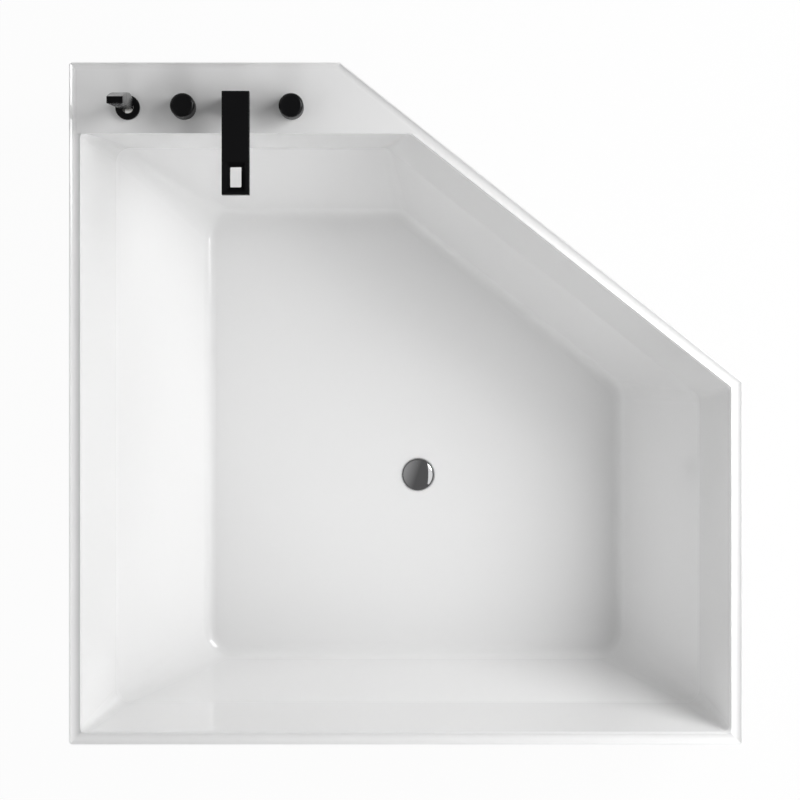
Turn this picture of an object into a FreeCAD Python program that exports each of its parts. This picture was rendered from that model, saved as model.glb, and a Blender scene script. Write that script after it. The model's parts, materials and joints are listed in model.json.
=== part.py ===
import FreeCAD, Part
import Sketcher
import math
import os

# Corner bathtub for two walls: an acrylic basin with a flat tap deck, a cut-off open corner, apron
# panels, a steel cradle on levelling feet, a pop-up waste with its trap, and a four-piece black tap
# set on the deck.  Millimetres, +Z up.  The origin is on the floor, in the middle of the tub's
# rectangle.  The left side (-X) and the foot side (-Y) stand against the walls; the tap side is +Y.

doc = FreeCAD.newDocument("corner_bathtub")
sheet = doc.addObject("Spreadsheet::Sheet", "Sizes")

# ---------------------------------------------------------------------------------------- sizes
# A Size carries a number and the spreadsheet expression that gives it, so every formula below
# works for drawing now and stays bound to the sheet.


class Size:
    def __init__(self, value, text):
        self.value = float(value)
        self.text = text

    def __add__(self, other):
        other = as_size(other)
        return Size(self.value + other.value, f"({self.text} + {other.text})")

    def __sub__(self, other):
        other = as_size(other)
        return Size(self.value - other.value, f"({self.text} - {other.text})")

    def __mul__(self, other):
        other = as_size(other)
        return Size(self.value * other.value, f"({self.text} * {other.text})")

    def __truediv__(self, other):
        other = as_size(other)
        return Size(self.value / other.value, f"({self.text} / {other.text})")

    def __neg__(self):
        return Size(-self.value, f"(0 - {self.text})")


def as_size(number):
    return number if isinstance(number, Size) else Size(number, repr(float(number)))


def root(number):
    return Size(math.sqrt(number.value), f"sqrt({number.text})")


NONE = as_size(0)
sheet_rows = []


def size(name, value, meaning):
    row = len(sheet_rows) + 1
    sheet_rows.append(name)
    sheet.set(f"A{row}", name)
    sheet.set(f"B{row}", str(value))
    sheet.set(f"C{row}", meaning)
    sheet.setAlias(f"B{row}", name)
    return Size(value, "Sizes." + name)


# Tub outline and rim
tub_width = size("tub_width", 1400, "wall side at the foot, along X")
tub_length = size("tub_length", 1418, "wall side at the left, along Y")
tap_edge = size("tap_edge", 563, "straight tap side before the cut-off corner")
open_edge = size("open_edge", 754, "straight right side before the cut-off corner")
rim_height = size("rim_height", 590, "floor to the top of the lip")
sheet_wall = size("sheet_wall", 6, "moulded acrylic with its backing")
skirt_depth = size("skirt_depth", 38, "turned-down edge of the rim")
outer_corner = size("outer_corner", 7, "radius of the rim's outer corners")
ledge_width = size("ledge_width", 26, "rim from the outer edge to the basin")
deck_width = size("deck_width", 148, "tap deck from the outer edge to the basin")
lip_width = size("lip_width", 2, "flat top of the outer lip")
trough_depth = size("trough_depth", 4, "hollow of the ledge below the lip")
deck_drop = size("deck_drop", 3.8, "tap deck below the lip")
flare = size("flare", 4, "width of the eased basin edge")
flare_depth = size("flare_depth", 6, "height of the eased basin edge")

# Basin
band_depth = size("band_depth", 200, "lip to the fold in the basin walls")
floor_height = size("floor_height", 150, "basin floor above the room's floor")
band_run_left = size("band_run_left", 54, "lean of the upper band, left wall")
band_run_right = size("band_run_right", 44, "lean of the upper band, right wall")
band_run_foot = size("band_run_foot", 41, "lean of the upper band, foot wall")
band_run_tap = size("band_run_tap", 13, "lean of the upper band, tap wall")
band_run_open = size("band_run_open", 40, "lean of the upper band, cut-off wall")
wall_run_left = size("wall_run_left", 181, "lean of the lower wall, left")
wall_run_right = size("wall_run_right", 150, "lean of the lower wall, right")
wall_run_foot = size("wall_run_foot", 81, "lean of the lower wall, foot")
wall_run_tap = size("wall_run_tap", 123, "lean of the lower wall, tap side")
wall_run_open = size("wall_run_open", 75, "lean of the lower wall, cut-off side")
rim_round = size("rim_round", 14, "plan radius of the basin corners at the rim")
fold_round = size("fold_round", 30, "plan radius of the basin corners at the fold")
floor_round = size("floor_round", 62, "plan radius of the basin corners at the floor")
fold_ease = size("fold_ease", 4, "height of the eased strip above and below the fold")
edge_blend = size("edge_blend", 9, "radius below the eased basin edge")
floor_blend = size("floor_blend", 32, "radius between walls and floor")

# Carrying board, rails and feet
board_thickness = size("board_thickness", 18, "board bonded under the floor")
board_margin = size("board_margin", 30, "board edge inside the basin floor's edge")
board_round = size("board_round", 40, "corner radius of the board")
rail_width = size("rail_width", 30, "square steel tube")
rail_wall = size("rail_wall", 2, "wall of the steel tube")
rail_margin = size("rail_margin", 12, "tube end inside the board's edge")
rail_tap_setback = size("rail_tap_setback", 75, "tap-side rail from the board's tap side")
rail_foot_setback = size("rail_foot_setback", 91, "foot-side rail from the board's foot side")
rail_middle_step = size("rail_middle_step", 515, "middle rail from the foot-side rail")
cap_plate = size("cap_plate", 3, "plate of a rail's end cap")
cap_plug = size("cap_plug", 12, "length of the cap inside the tube")
foot_from_end = size("foot_from_end", 24, "levelling foot from the tube's end")
stud_radius = size("stud_radius", 6, "M12 stud")
stud_play = size("stud_play", 0.05, "radial play of a stud in its hole")
stud_headroom = size("stud_headroom", 4, "stud top below the tube's roof")
pad_radius = size("pad_radius", 25, "foot pad")
pad_height = size("pad_height", 14, "foot pad")
pad_rim = size("pad_rim", 4, "straight edge and bottom of the foot pad")
pad_neck = size("pad_neck", 11, "top radius of the foot pad")
nut_flats = size("nut_flats", 19, "lock nut across flats")
nut_height = size("nut_height", 8, "lock nut")
screw_radius = size("screw_radius", 2.5, "rail screw")
screw_head = size("screw_head", 6, "radius of a rail screw's head")
screw_head_height = size("screw_head_height", 3.5, "rail screw head")
screw_bite = size("screw_bite", 12, "rail screw in the board")
screw_from_end = size("screw_from_end", 160, "outer rail screws from the tube's ends")
screws_per_rail = 3

# Apron panels, their clips and the wall brackets
panel_gap = size("panel_gap", 2, "rim skirt to apron panel")
panel_wall = size("panel_wall", 5, "apron panel")
panel_clearance = size("panel_clearance", 10, "apron panel above the floor")
panel_return = size("panel_return", 30, "bottom return of an apron panel")
clip_wall = size("clip_wall", 2, "spring clip")
clip_leg = size("clip_leg", 16, "height of a spring clip")
clip_length = size("clip_length", 60, "spring clip along the rim")
clip_from_end = size("clip_from_end", 130, "middle of the outer clips from a side's corners")
short_side_clips = 2
long_side_clips = 3
bracket_wall = size("bracket_wall", 3, "wall bracket plate")
bracket_width = size("bracket_width", 40, "wall bracket along the wall")
bracket_leg = size("bracket_leg", 60, "wall bracket below the skirt")
bracket_hole = size("bracket_hole", 3.25, "radius of the wall screw hole")
bracket_hole_drop = size("bracket_hole_drop", 38, "wall screw hole below the skirt")
bracket_from_end = size("bracket_from_end", 270, "middle of a wall bracket from the tub's corner")

# Waste, pop-up plug and trap
waste_from_left = size("waste_from_left", 728, "waste from the left wall side")
waste_from_foot = size("waste_from_foot", 550, "waste from the foot wall side")
flange_radius = size("flange_radius", 37, "waste ring")
flange_height = size("flange_height", 2.5, "waste ring")
flange_edge = size("flange_edge", 1, "straight edge of the waste ring")
flange_seat = size("flange_seat", 1, "radial gap between the ring and its recess")
recess_depth = size("recess_depth", 2, "recess in the basin floor")
tail_radius = size("tail_radius", 24, "threaded waste tube")
tail_wall = size("tail_wall", 3, "threaded waste tube")
waste_play = size("waste_play", 1, "waste tube in the basin floor")
tail_length = size("tail_length", 46, "waste tube below the tub's underside")
gasket_radius = size("gasket_radius", 34, "waste gaskets")
upper_gasket = size("upper_gasket", 1.5, "thickness of the upper gasket")
lower_gasket = size("lower_gasket", 3, "thickness of the lower gasket")
backnut_flats = size("backnut_flats", 66, "waste back nut across flats")
backnut_height = size("backnut_height", 10, "waste back nut")
board_hole = size("board_hole", 46, "radius of the hole in the board")
hub_radius = size("hub_radius", 8, "plug guide in the waste")
hub_height = size("hub_height", 9, "plug guide in the waste")
hub_drop = size("hub_drop", 7, "plug guide below the ring's top")
spoke_width = size("spoke_width", 4, "bars that carry the plug guide")
spoke_height = size("spoke_height", 5.5, "bars that carry the plug guide")
spoke_count = 3
plug_radius = size("plug_radius", 32.5, "domed plug")
plug_crown = size("plug_crown", 8, "height of the domed plug")
plug_edge = size("plug_edge", 2.5, "straight edge of the plug")
plug_gap = size("plug_gap", 0.4, "plug above the ring when shut")
stem_radius = size("stem_radius", 4, "plug stem")
stem_length = size("stem_length", 34, "plug stem below the plug")
stem_play = size("stem_play", 0.05, "radial play of the stem in its guide")
seal_height = size("seal_height", 4.5, "plug seal")
seal_width = size("seal_width", 4, "plug seal")
trap_radius = size("trap_radius", 48, "trap bowl")
trap_wall = size("trap_wall", 3, "trap bowl")
trap_roof = size("trap_roof", 4, "upright thickness of the trap bowl's sloping roof")
trap_height = size("trap_height", 50, "trap bowl, underside to shoulder")
trap_neck = size("trap_neck", 17, "shoulder of the trap bowl to its collar")
trap_bevel = size("trap_bevel", 7, "bevel of the trap bowl")
dip_gap = size("dip_gap", 22, "dip tube above the bowl's underside")
dip_radius = size("dip_radius", 20, "bore of the trap inlet")
collar_radius = size("collar_radius", 28, "collar of the trap inlet")
collar_height = size("collar_height", 6, "collar of the trap inlet")
trap_seal = size("trap_seal", 3, "washer between waste tube and trap")
union_wall = size("union_wall", 5, "wall of the union nut round the collar")
union_grip = size("union_grip", 12, "union nut on the waste tube")
union_lip = size("union_lip", 3, "lip of the union nut")
outlet_drop = size("outlet_drop", 14, "centre of the outlet below the bowl's shoulder")
socket_bore = size("socket_bore", 20, "trap outlet, takes a 40 mm waste pipe")
socket_wall = size("socket_wall", 4, "trap outlet")
socket_reach = size("socket_reach", 84, "trap outlet from the waste's axis")
socket_depth = size("socket_depth", 26, "waste pipe inside the trap outlet")
socket_step = size("socket_step", 2.4, "stop behind the waste pipe's end")
outlet_seal_length = size("outlet_seal_length", 3, "seal ring in the compression nut")
outlet_seal_play = size("outlet_seal_play", 0.3, "seal ring round the waste pipe")
outlet_nut_length = size("outlet_nut_length", 25, "compression nut")
outlet_nut_wall = size("outlet_nut_wall", 5, "compression nut round the outlet")
outlet_nut_lip = size("outlet_nut_lip", 5, "compression nut beyond its seal")
outlet_nut_play = size("outlet_nut_play", 0.6, "compression nut round the waste pipe")

# Deck taps
tap_setback = size("tap_setback", 94, "line of the taps from the tap side's edge")
spout_from_left = size("spout_from_left", 351, "middle of the spout from the left wall side")
handle_pitch = size("handle_pitch", 112, "spout to either handle")
shower_from_left = size("shower_from_left", 122, "shower socket from the left wall side")
valve_hole = size("valve_hole", 17.5, "radius of the holes for valves and spout")
valve_shank = size("valve_shank", 17, "valve neck through the deck")
valve_block = size("valve_block", 52, "side of the square valve body")
valve_block_height = size("valve_block_height", 60, "valve body")
valve_neck = size("valve_neck", 74, "valve neck from the body to the deck's underside")
valve_nut_flats = size("valve_nut_flats", 46, "valve nut across flats")
valve_nut_height = size("valve_nut_height", 8, "valve nut")
rose_radius = size("rose_radius", 25, "collar under a handle")
rose_height = size("rose_height", 8, "collar under a handle")
edge_ease = size("edge_ease", 1.5, "chamfer on the turned tap pieces")
knob_radius = size("knob_radius", 25.5, "handle")
knob_height = size("knob_height", 50, "handle")
knob_gap = size("knob_gap", 1, "handle above its collar")
knob_wall = size("knob_wall", 3, "handle skirt")
knob_roof = size("knob_roof", 5, "handle top")
knob_boss = size("knob_boss", 10, "radius of the boss inside a handle")
knob_boss_lift = size("knob_boss_lift", 4, "boss above the handle's lower edge")
spindle_radius = size("spindle_radius", 6, "valve spindle")
spindle_play = size("spindle_play", 0.05, "radial play of the spindle")
spindle_end = size("spindle_end", 3, "spindle end below the handle's roof")
spindle_drop = size("spindle_drop", 50, "spindle below the deck's underside")
spindle_room = size("spindle_room", 4, "bore beyond the spindle's lower end")
port_radius = size("port_radius", 7.5, "15 mm water pipe")
port_bore = size("port_bore", 6, "bore of the water pipes")
port_depth = size("port_depth", 8, "pipe inside a port")
port_low = size("port_low", 16, "mixed-water pipe above the valve body's bottom")
port_high = size("port_high", 42, "spout pipe above the valve body's bottom")
port_side = size("port_side", 29, "shower hose port above the valve body's bottom")
inlet_offset = size("inlet_offset", 16, "hot and cold inlets from the mixer's axis")
inlet_length = size("inlet_length", 70, "inlet tails below the mixer")
inlet_thread = size("inlet_thread", 10.4, "radius of the inlet thread, G 1/2")
inlet_thread_length = size("inlet_thread_length", 15, "inlet thread")
hose_nipple_length = size("hose_nipple_length", 18, "shower hose nipple")
spout_width = size("spout_width", 57, "spout bar")
spout_length = size("spout_length", 213, "spout bar, rear face to tip")
spout_column = size("spout_column", 46, "side of the square spout column")
spout_overhang = size("spout_overhang", 2.5, "spout bar behind its column")
spout_height = size("spout_height", 95, "spout top above the deck")
spout_bar = size("spout_bar", 24, "thickness of the spout bar")
spout_edge = size("spout_edge", 1.2, "rounded edges of the spout")
window_width = size("window_width", 23.3, "opening near the spout's tip")
window_length = size("window_length", 42, "opening near the spout's tip")
window_lead = size("window_lead", 15.9, "spout tip to the opening")
window_round = size("window_round", 2.5, "corner radius of the opening")
window_bevel = size("window_bevel", 9.5, "bevel round the top of the opening")
channel_width = size("channel_width", 15, "water channel in the spout")
channel_height = size("channel_height", 6, "water channel in the spout")
channel_lift = size("channel_lift", 5, "water channel above the bar's underside")
spout_gasket_height = size("spout_gasket_height", 1.3, "seal under the spout")
spout_shank = size("spout_shank", 13.5, "threaded shank of the spout")
shank_bite = size("shank_bite", 12, "shank inside the spout")
shank_length = size("shank_length", 58, "shank below the deck")
spout_washer_radius = size("spout_washer_radius", 24, "washer under the deck")
spout_washer_height = size("spout_washer_height", 3, "washer under the deck")
spout_nut_flats = size("spout_nut_flats", 36, "nut under the washer, across flats")
feed_bend = size("feed_bend", 23, "bend radius of the spout pipe")

# Shower socket and hand shower
socket_radius = size("socket_radius", 25.5, "shower socket")
socket_height = size("socket_height", 12, "shower socket above the deck")
socket_stem = size("socket_stem", 16, "stem of the shower socket")
socket_stem_length = size("socket_stem_length", 60, "stem below the deck")
hose_passage = size("hose_passage", 12.5, "radius of the shower hose's passage")
seat_play = size("seat_play", 1.2, "hose nut in the socket's seat")
socket_play = size("socket_play", 0.5, "stem in its deck hole")
handset_lean = size("handset_lean", 3.2, "lean towards the basin, degrees")
handset_lift = size("handset_lift", 1, "hand shower above its socket")
handset_length = size("handset_length", 270, "hand shower bar")
handset_front = size("handset_front", 4.5, "flat front before the socket's axis")
handset_foot_width = size("handset_foot_width", 24, "bar at its foot")
handset_foot_depth = size("handset_foot_depth", 20, "bar at its foot")
handset_grip_depth = size("handset_grip_depth", 29, "bar at the grip")
handset_grip_height = size("handset_grip_height", 100, "fullest part of the grip")
handset_top_width = size("handset_top_width", 32.4, "bar at its top")
handset_top_depth = size("handset_top_depth", 14.2, "bar at its top")
handset_round = size("handset_round", 1, "long edges of the bar")
spray_width = size("spray_width", 25, "spray plate")
spray_length = size("spray_length", 92, "spray plate")
spray_top = size("spray_top", 8, "spray plate below the bar's top")
spray_inset = size("spray_inset", 2.5, "spray plate inside the bar")
spray_proud = size("spray_proud", 0.8, "spray plate in front of the bar")
hose_nut_radius = size("hose_nut_radius", 10, "hose nut of the hand shower")
hose_nut_length = size("hose_nut_length", 18, "hose nut of the hand shower")
hose_nut_taper = size("hose_nut_taper", 3, "hose nut, smaller radius at its lower end")
nipple_radius = size("nipple_radius", 6, "thread between bar and hose nut")
nipple_length = size("nipple_length", 12, "thread between bar and hose nut")
doc.recompute()

# -------------------------------------------------------------------------------- levels and places
half_width = tub_width / 2
half_length = tub_length / 2
trough_z = rim_height - trough_depth
rim_under = trough_z - sheet_wall
skirt_z = rim_height - skirt_depth
deck_z = rim_height - deck_drop
edge_z = rim_height - flare_depth
fold_z = rim_height - band_depth
floor_z = floor_height
floor_under = floor_z - sheet_wall
board_z = floor_under - board_thickness
rail_z = board_z - rail_width
tap_y = half_length - tap_setback
spout_x = spout_from_left - half_width
mixer_x = spout_x + handle_pitch
diverter_x = spout_x - handle_pitch
shower_x = shower_from_left - half_width
waste_x = waste_from_left - half_width
waste_y = waste_from_foot - half_length

# ------------------------------------------------------------------------ drawing and feature tools


def origin_plane(body, role):
    return next(plane for plane in body.Origin.OriginFeatures if plane.Role == role)


def bind(thing, path, amount):
    thing.setExpression(path, as_size(amount).text)


def new_body(name):
    return doc.addObject("PartDesign::Body", name)


def new_sketch(body, role, offset):
    sketch = body.newObject("Sketcher::SketchObject", "outline")
    sketch.AttachmentSupport = [(origin_plane(body, role), "")]
    sketch.MapMode = "FlatFace"
    bind(sketch, "AttachmentOffset.Base.z", offset)
    return sketch


def fix(sketch, kind, first, second, geometry, vertex, amount):
    index = sketch.addConstraint(
        Sketcher.Constraint(kind, first, second, geometry, vertex, amount.value))
    bind(sketch, f"Constraints[{index}]", amount)


def place_point(sketch, geometry, vertex, point):
    fix(sketch, "DistanceX", -1, 1, geometry, vertex, point[0])
    fix(sketch, "DistanceY", -1, 1, geometry, vertex, point[1])


def vector(point):
    return FreeCAD.Vector(point[0].value, point[1].value, 0)


def draw_polygon(sketch, points):
    points = [(as_size(x), as_size(y)) for x, y in points]
    first = len(sketch.Geometry)
    for index, point in enumerate(points):
        following = points[(index + 1) % len(points)]
        sketch.addGeometry(Part.LineSegment(vector(point), vector(following)))
    for index, point in enumerate(points):
        before = first + (index - 1) % len(points)
        sketch.addConstraint(Sketcher.Constraint("Coincident", before, 2, first + index, 1))
        place_point(sketch, first + index, 1, point)


def draw_circle(sketch, x, y, radius):
    centre = (as_size(x), as_size(y))
    circle = sketch.addGeometry(Part.Circle(vector(centre), FreeCAD.Vector(0, 0, 1), radius.value))
    place_point(sketch, circle, 3, centre)
    index = sketch.addConstraint(Sketcher.Constraint("Radius", circle, radius.value))
    bind(sketch, f"Constraints[{index}]", radius)


def add_feature(body, kind, sketch):
    feature = body.newObject("PartDesign::" + kind, kind.lower())
    feature.Profile = sketch
    sketch.Visibility = False
    return feature


def pad(body, sketch, length):
    feature = add_feature(body, "Pad", sketch)
    bind(feature, "Length", length)
    return feature


def revolve(body, sketch):
    feature = add_feature(body, "Revolution", sketch)
    feature.ReferenceAxis = (sketch, ["V_Axis"])
    feature.Angle = 360
    return feature


def move(piece, x=NONE, y=NONE, z=NONE):
    bind(piece, "Placement.Base.x", x)
    bind(piece, "Placement.Base.y", y)
    bind(piece, "Placement.Base.z", z)
    return piece


def extruded(name, points, bottom, height):
    """A plan outline, padded upward from a level."""
    body = new_body(name)
    sketch = new_sketch(body, "XY_Plane", bottom)
    draw_polygon(sketch, points)
    pad(body, sketch, height)
    return body


def turned(name, profile, x=NONE, y=NONE, z=NONE):
    """A closed profile of radius and height, turned about a vertical axis."""
    body = new_body(name)
    sketch = new_sketch(body, "XZ_Plane", NONE)
    draw_polygon(sketch, profile)
    revolve(body, sketch)
    return move(body, x, y, z)


def cylinder(radius, height, x, y, z, along="Z"):
    piece = doc.addObject("Part::Cylinder", "cylinder")
    bind(piece, "Radius", radius)
    bind(piece, "Height", height)
    turns = {"X": (FreeCAD.Vector(0, 1, 0), 90), "-X": (FreeCAD.Vector(0, 1, 0), -90),
             "Z": (FreeCAD.Vector(0, 0, 1), 0)}
    piece.Placement = FreeCAD.Placement(FreeCAD.Vector(), FreeCAD.Rotation(*turns[along]))
    return move(piece, x, y, z)


def box(length, width, height, x, y, z):
    piece = doc.addObject("Part::Box", "block")
    bind(piece, "Length", length)
    bind(piece, "Width", width)
    bind(piece, "Height", height)
    return move(piece, x, y, z)


def hexagon(flats, height, x, y, z):
    piece = doc.addObject("Part::Prism", "hexagon")
    piece.Polygon = 6
    bind(piece, "Circumradius", flats / root(as_size(3)))
    bind(piece, "Height", height)
    return move(piece, x, y, z)


def fuse(*pieces):
    piece = doc.addObject("Part::MultiFuse", "joined")
    piece.Shapes = list(pieces)
    return piece


def cut(base, *tools):
    piece = doc.addObject("Part::Cut", "trimmed")
    piece.Base = base
    piece.Tool = tools[0] if len(tools) == 1 else fuse(*tools)
    return piece


def ring(outer, inner, height, x, y, z, along="Z"):
    return cut(cylinder(outer, height, x, y, z, along), cylinder(inner, height, x, y, z, along))


def nut(flats, bore, height, x, y, z):
    return cut(hexagon(flats, height, x, y, z), cylinder(bore, height, x, y, z))


def group(pieces):
    piece = doc.addObject("Part::Compound", "group")
    piece.Links = pieces
    return piece


nodes = []


def node(name, piece):
    piece.Label = name
    nodes.append(piece)
    return piece


# ----------------------------------------------------------------------------- the tub's outline
# Five sides in plan: left, tap, open (the cut-off corner), right and foot.  Insets from the outer
# outline give every other outline, so all sides stay parallel.
cut_x = tub_width - tap_edge
cut_y = tub_length - open_edge
cut_length = root(cut_x * cut_x + cut_y * cut_y)
open_nx = cut_y / cut_length
open_ny = cut_x / cut_length
open_distance = open_nx * (tap_edge - half_width) + open_ny * half_length
SIDES = ("left", "tap", "open", "right", "foot")


def insets(left, tap, open_side, right, foot):
    return dict(zip(SIDES, (left, tap, open_side, right, foot)))


def even(inset):
    return insets(inset, inset, inset, inset, inset)


def further(base, *steps):
    return {side: base[side] + step for side, step in zip(SIDES, steps)}


def shrunk(base, step):
    return further(base, *[step] * len(SIDES))


def corners(inset):
    """Corner points clockwise from the foot of the left side."""
    left = -half_width + inset["left"]
    right = half_width - inset["right"]
    foot = -half_length + inset["foot"]
    tap = half_length - inset["tap"]
    distance = open_distance - inset["open"]
    return [(left, foot), (left, tap), ((distance - open_ny * tap) / open_nx, tap),
            (right, (distance - open_nx * right) / open_ny), (right, foot)]


def draw_rounded(sketch, inset, radius):
    """The five-sided outline with one radius at all its corners."""
    points = corners(inset)
    ways = [(NONE, as_size(1)), (as_size(1), NONE), (open_ny, -open_nx), (NONE, as_size(-1)),
            (as_size(-1), NONE)]
    quarter = as_size(1)
    tap_turn = (quarter - open_ny) / open_nx
    right_turn = (quarter - open_nx) / open_ny
    turns = [quarter, quarter, tap_turn, right_turn, quarter]
    count = len(points)
    starts = []
    ends = []
    centres = []
    for index in range(count):
        (x, y), (ux, uy), (vx, vy) = points[index], ways[index - 1], ways[index]
        reach = radius * turns[index]
        entry = (x - ux * reach, y - uy * reach)
        ends.append(entry)
        starts.append((x + vx * reach, y + vy * reach))
        centres.append((entry[0] + uy * radius, entry[1] - ux * radius))
    for index in range(count):
        following = (index + 1) % count
        sketch.addGeometry(Part.LineSegment(vector(starts[index]), vector(ends[following])))
        centre, entry, leave = (vector(spot[following]) for spot in (centres, ends, starts))
        circle = Part.Circle(centre, FreeCAD.Vector(0, 0, 1), radius.value)
        angles = [math.atan2(spot.y - centre.y, spot.x - centre.x) for spot in (leave, entry)]
        sketch.addGeometry(Part.ArcOfCircle(circle, *angles))
    for index in range(count):
        line, arc = 2 * index, 2 * index + 1
        following = (index + 1) % count
        next_line = 2 * following
        sketch.addConstraint(Sketcher.Constraint("Coincident", line, 2, arc, 2))
        sketch.addConstraint(Sketcher.Constraint("Coincident", arc, 1, next_line, 1))
        place_point(sketch, line, 1, starts[index])
        place_point(sketch, line, 2, ends[following])
        bend = sketch.addConstraint(Sketcher.Constraint("Radius", arc, radius.value))
        bind(sketch, f"Constraints[{bend}]", radius)


def outline_sketch(body, level, inset, radius):
    sketch = new_sketch(body, "XY_Plane", level)
    draw_rounded(sketch, inset, radius)
    return sketch


rim_inset = insets(ledge_width, deck_width, ledge_width, ledge_width, ledge_width)
fold_inset = further(rim_inset, band_run_left, band_run_tap, band_run_open, band_run_right,
                     band_run_foot)
floor_inset = further(fold_inset, wall_run_left, wall_run_tap, wall_run_open, wall_run_right,
                      wall_run_foot)


def edges_at(shape, level):
    names = []
    for index, edge in enumerate(shape.Edges, start=1):
        bounds = edge.BoundBox
        if abs(bounds.ZMin - level.value) < 0.01 and abs(bounds.ZMax - level.value) < 0.01:
            names.append(f"Edge{index}")
    return names


def blend(body, level, radius):
    """Round the whole loop of edges at one level."""
    doc.recompute()
    base = body.Tip
    feature = body.newObject("PartDesign::Fillet", "blend")
    feature.Base = (base, edges_at(base.Shape, level))
    bind(feature, "Radius", radius)
    return feature


def between(upper, lower, share):
    """An outline part of the way down a wall."""
    return {side: upper[side] + (lower[side] - upper[side]) * share for side in SIDES}


def basin_form(name, sections):
    """The basin as a solid: outlines joined by straight walls, one above the other."""
    body = new_body(name)
    sketches = [outline_sketch(body, *section) for section in sections]
    loft = add_feature(body, "AdditiveLoft", sketches[0])
    loft.Sections = sketches[1:]
    loft.Ruled = True
    return body


# -------------------------------------------------------------------------------- tub_shell
# One moulding: a rim slab with a turned-down skirt, the basin's outer form, and the space inside
# the basin with the ledge's hollow and the sunk deck taken away.
def tub_shell():
    rim = new_body("rim")
    pad(rim, outline_sketch(rim, skirt_z, even(NONE), outer_corner), skirt_depth)
    hollow = new_body("skirt_hollow")
    pad(hollow, outline_sketch(hollow, skirt_z, even(sheet_wall), outer_corner), rim_under - skirt_z)

    outside = basin_form("basin_outside", [
        (edge_z, shrunk(rim_inset, -sheet_wall), rim_round + sheet_wall),
        (fold_z, shrunk(fold_inset, -sheet_wall), fold_round + sheet_wall),
        (floor_under, shrunk(floor_inset, -sheet_wall), floor_round + sheet_wall)])
    blend(outside, floor_under, floor_blend + sheet_wall)
    above_fold = between(fold_inset, rim_inset, fold_ease / (edge_z - fold_z))
    below_fold = between(fold_inset, floor_inset, fold_ease / (fold_z - floor_z))
    inside = basin_form("basin_inside", [
        (rim_height, shrunk(rim_inset, -flare), rim_round),
        (edge_z, rim_inset, rim_round),
        (fold_z + fold_ease, above_fold, fold_round),
        (fold_z - fold_ease, below_fold, fold_round),
        (floor_z, floor_inset, floor_round)])
    blend(inside, floor_z, floor_blend)
    blend(inside, edge_z, edge_blend)

    trough = new_body("ledge_trough")
    trough_line = even(ledge_width / 2)
    path = new_sketch(trough, "XY_Plane", rim_height)
    draw_polygon(path, corners(trough_line))
    half_span = ledge_width / 2 - lip_width
    bend = (half_span * half_span + trough_depth * trough_depth) / (trough_depth * 2)
    profile = new_sketch(trough, "XZ_Plane", NONE)
    middle = ledge_width / 2 - half_width
    centre = (middle, trough_z + bend)
    sweep = math.asin(half_span.value / bend.value)
    circle = Part.Circle(vector(centre), FreeCAD.Vector(0, 0, 1), bend.value)
    arc = profile.addGeometry(Part.ArcOfCircle(circle, -math.pi / 2 - sweep, -math.pi / 2 + sweep))
    ends = [(middle - half_span, rim_height), (middle + half_span, rim_height)]
    chord = profile.addGeometry(Part.LineSegment(vector(ends[1]), vector(ends[0])))
    profile.addConstraint(Sketcher.Constraint("Coincident", arc, 2, chord, 1))
    profile.addConstraint(Sketcher.Constraint("Coincident", chord, 2, arc, 1))
    place_point(profile, chord, 1, ends[1])
    place_point(profile, chord, 2, ends[0])
    index = profile.addConstraint(Sketcher.Constraint("Radius", arc, bend.value))
    bind(profile, f"Constraints[{index}]", bend)
    pipe = add_feature(trough, "AdditivePipe", profile)
    pipe.Spine = (path, [f"Edge{number}" for number in range(1, len(SIDES) + 1)])
    pipe.Transition = "Right corner"

    deck_corners = corners(even(ledge_width / 2))
    deck_front = half_length - deck_width
    left_x = deck_corners[0][0]
    diagonal = open_distance - ledge_width / 2
    deck = extruded("deck_hollow", [
        (left_x, deck_front), deck_corners[1], deck_corners[2],
        ((diagonal - open_ny * deck_front) / open_nx, deck_front)], deck_z, deck_drop)

    depth = rim_height - skirt_z
    holes = [cylinder(valve_hole, depth, x, tap_y, skirt_z)
             for x in (diverter_x, spout_x, mixer_x)]
    holes.append(cylinder(socket_stem + socket_play, depth, shower_x, tap_y, skirt_z))
    drain = cylinder(tail_radius + waste_play, sheet_wall, waste_x, waste_y, floor_under)
    seat = cylinder(flange_radius + flange_seat, recess_depth, waste_x, waste_y,
                    floor_z - recess_depth)
    body = fuse(cut(rim, hollow), outside)
    return cut(body, inside, trough, deck, drain, seat, *holes)


node("tub_shell", tub_shell())

# ------------------------------------------------------------------------- board, rails and feet
board_inset = shrunk(floor_inset, board_margin)
board_corners = corners(board_inset)
rail_left = board_corners[0][0] + rail_margin
board_right = board_corners[3][0]
board_open = open_distance - board_inset["open"]
rail_foot_y = board_corners[0][1] + rail_foot_setback
rail_middle_y = rail_foot_y + rail_middle_step
rail_tap_y = board_corners[1][1] - rail_tap_setback


def spread(length, margin, count):
    """Places along a length, evenly spaced between two equal margins."""
    return [margin + (length - margin * 2) * (index / (count - 1)) for index in range(count)]


def open_side_x(y):
    """Right-hand end of a rail that runs into the cut-off corner."""
    reach = y + rail_width / 2
    return (board_open - open_ny * reach) / open_nx - rail_margin


rails = {
    "rail_tap": (rail_tap_y, open_side_x(rail_tap_y), ("left", "right")),
    "rail_middle": (rail_middle_y, open_side_x(rail_middle_y), ("right",)),
    "rail_foot": (rail_foot_y, board_right - rail_margin, ("left", "right")),
}
feet = []
rail_screws = []
for rail_y, rail_right, foot_ends in rails.values():
    ends = {"left": rail_left + foot_from_end, "right": rail_right - foot_from_end}
    feet += [(ends[end], rail_y) for end in foot_ends]
    rail_screws += [(rail_left + place, rail_y)
                    for place in spread(rail_right - rail_left, screw_from_end, screws_per_rail)]

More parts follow.
